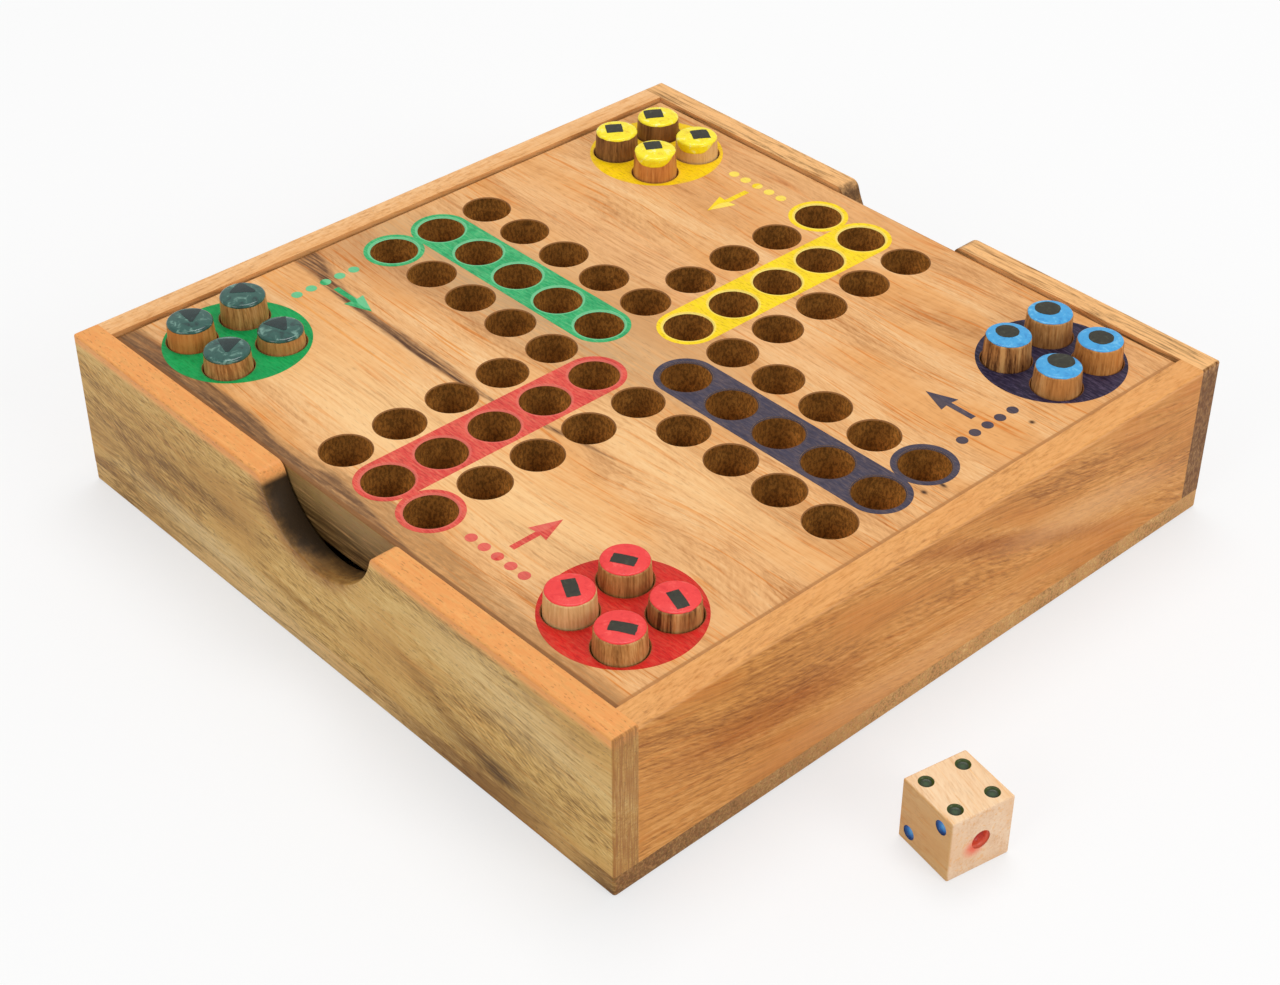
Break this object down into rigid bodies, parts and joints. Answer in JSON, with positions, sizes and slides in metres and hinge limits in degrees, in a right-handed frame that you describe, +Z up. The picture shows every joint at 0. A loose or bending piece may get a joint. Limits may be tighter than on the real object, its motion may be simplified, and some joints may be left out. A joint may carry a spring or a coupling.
{
  "type": "ludo board game",
  "caption": "Ludo game in a square wooden box: the drilled board is the lid, with finger notches to lift it, turned pegs in painted bases, storage below and a die.",
  "frame": {"origin": "middle of the box's underside, on the table", "axes": "+Z up out of the box; the track's arms lie along X and Y; the finger notches are in the walls that face -Y (front) and +Y (back)"},
  "size_m": [0.2347, 0.19, 0.0486],
  "materials": {
    "board_wood": "satin",
    "front_wall_wood": "satin",
    "back_wall_wood": "satin",
    "side_wall_wood": "satin",
    "panel_wood": "satin",
    "block_wood": "matte",
    "peg_wood": "satin",
    "die_wood": "satin",
    "green_paint": "satin",
    "yellow_paint": "satin",
    "red_paint": "satin",
    "navy_paint": "satin",
    "teal_enamel": "satin",
    "sky_blue_enamel": "satin",
    "black_enamel": "satin"
  },
  "bodies": {
    "box": {"wall_front": "front_wall_wood", "wall_back": "back_wall_wood", "wall_left": "side_wall_wood", "wall_right": "side_wall_wood", "bottom_panel": "panel_wood", "block_front_left": "block_wood", "block_front_right": "block_wood", "block_back_left": "block_wood", "block_back_right": "block_wood"},
    "board": {"board": "board_wood"},
    "die": {"die": "die_wood"},
    "peg_green_1": {"peg_green_1": "peg_wood"},
    "peg_green_2": {"peg_green_2": "peg_wood"},
    "peg_green_3": {"peg_green_3": "peg_wood"},
    "peg_green_4": {"peg_green_4": "peg_wood"},
    "peg_yellow_1": {"peg_yellow_1": "peg_wood"},
    "peg_yellow_2": {"peg_yellow_2": "peg_wood"},
    "peg_yellow_3": {"peg_yellow_3": "peg_wood"},
    "peg_yellow_4": {"peg_yellow_4": "peg_wood"},
    "peg_red_1": {"peg_red_1": "peg_wood"},
    "peg_red_2": {"peg_red_2": "peg_wood"},
    "peg_red_3": {"peg_red_3": "peg_wood"},
    "peg_red_4": {"peg_red_4": "peg_wood"},
    "peg_blue_1": {"peg_blue_1": "peg_wood"},
    "peg_blue_2": {"peg_blue_2": "peg_wood"},
    "peg_blue_3": {"peg_blue_3": "peg_wood"},
    "peg_blue_4": {"peg_blue_4": "peg_wood"}
  },
  "joints": [
    {"name": "board_lift", "type": "slide", "parent": "box", "child": "board", "axis": [0, 0, 1], "range_m": [0, 0.07]},
    {"name": "die_lift", "type": "slide", "parent": "box", "child": "die", "axis": [0, 0, 1], "range_m": [0, 0.05]},
    {"name": "peg_green_1_lift", "type": "slide", "parent": "board", "child": "peg_green_1", "axis": [0, 0, 1], "range_m": [0, 0.025]},
    {"name": "peg_green_2_lift", "type": "slide", "parent": "board", "child": "peg_green_2", "axis": [0, 0, 1], "range_m": [0, 0.025]},
    {"name": "peg_green_3_lift", "type": "slide", "parent": "board", "child": "peg_green_3", "axis": [0, 0, 1], "range_m": [0, 0.025]},
    {"name": "peg_green_4_lift", "type": "slide", "parent": "board", "child": "peg_green_4", "axis": [0, 0, 1], "range_m": [0, 0.025]},
    {"name": "peg_yellow_1_lift", "type": "slide", "parent": "board", "child": "peg_yellow_1", "axis": [0, 0, 1], "range_m": [0, 0.025]},
    {"name": "peg_yellow_2_lift", "type": "slide", "parent": "board", "child": "peg_yellow_2", "axis": [0, 0, 1], "range_m": [0, 0.025]},
    {"name": "peg_yellow_3_lift", "type": "slide", "parent": "board", "child": "peg_yellow_3", "axis": [0, 0, 1], "range_m": [0, 0.025]},
    {"name": "peg_yellow_4_lift", "type": "slide", "parent": "board", "child": "peg_yellow_4", "axis": [0, 0, 1], "range_m": [0, 0.025]},
    {"name": "peg_red_1_lift", "type": "slide", "parent": "board", "child": "peg_red_1", "axis": [0, 0, 1], "range_m": [0, 0.025]},
    {"name": "peg_red_2_lift", "type": "slide", "parent": "board", "child": "peg_red_2", "axis": [0, 0, 1], "range_m": [0, 0.025]},
    {"name": "peg_red_3_lift", "type": "slide", "parent": "board", "child": "peg_red_3", "axis": [0, 0, 1], "range_m": [0, 0.025]},
    {"name": "peg_red_4_lift", "type": "slide", "parent": "board", "child": "peg_red_4", "axis": [0, 0, 1], "range_m": [0, 0.025]},
    {"name": "peg_blue_1_lift", "type": "slide", "parent": "board", "child": "peg_blue_1", "axis": [0, 0, 1], "range_m": [0, 0.025]},
    {"name": "peg_blue_2_lift", "type": "slide", "parent": "board", "child": "peg_blue_2", "axis": [0, 0, 1], "range_m": [0, 0.025]},
    {"name": "peg_blue_3_lift", "type": "slide", "parent": "board", "child": "peg_blue_3", "axis": [0, 0, 1], "range_m": [0, 0.025]},
    {"name": "peg_blue_4_lift", "type": "slide", "parent": "board", "child": "peg_blue_4", "axis": [0, 0, 1], "range_m": [0, 0.025]}
  ]
}
